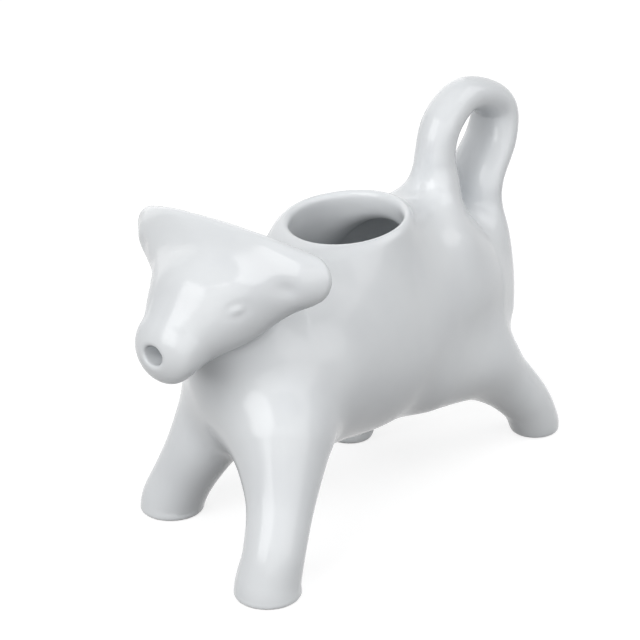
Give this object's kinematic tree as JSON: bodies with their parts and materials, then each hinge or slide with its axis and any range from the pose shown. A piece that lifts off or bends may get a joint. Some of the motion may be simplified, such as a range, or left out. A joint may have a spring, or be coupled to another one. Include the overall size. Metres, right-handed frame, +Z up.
{
  "type": "cow creamer",
  "caption": "Small porcelain jug shaped as a striding cow: filled through a round mouth in its back, held by the looped tail, poured through the muzzle.",
  "frame": {"origin": "middle of the bounding box's footprint, on the table under the four feet", "axes": "+Z up, -Y the way the cow looks, +X the cow's left side, length along Y"},
  "size_m": [0.0785, 0.1663, 0.122],
  "materials": {
    "glaze": "clear gloss glaze over white porcelain"
  },
  "bodies": {
    "root": {"body_shell": "glaze", "mouth_rim": "glaze", "neck": "glaze", "head": "glaze", "left_ear": "glaze", "right_ear": "glaze", "tail_handle": "glaze", "front_left_leg": "glaze", "front_right_leg": "glaze", "rear_left_leg": "glaze", "rear_right_leg": "glaze"}
  },
  "joints": []
}
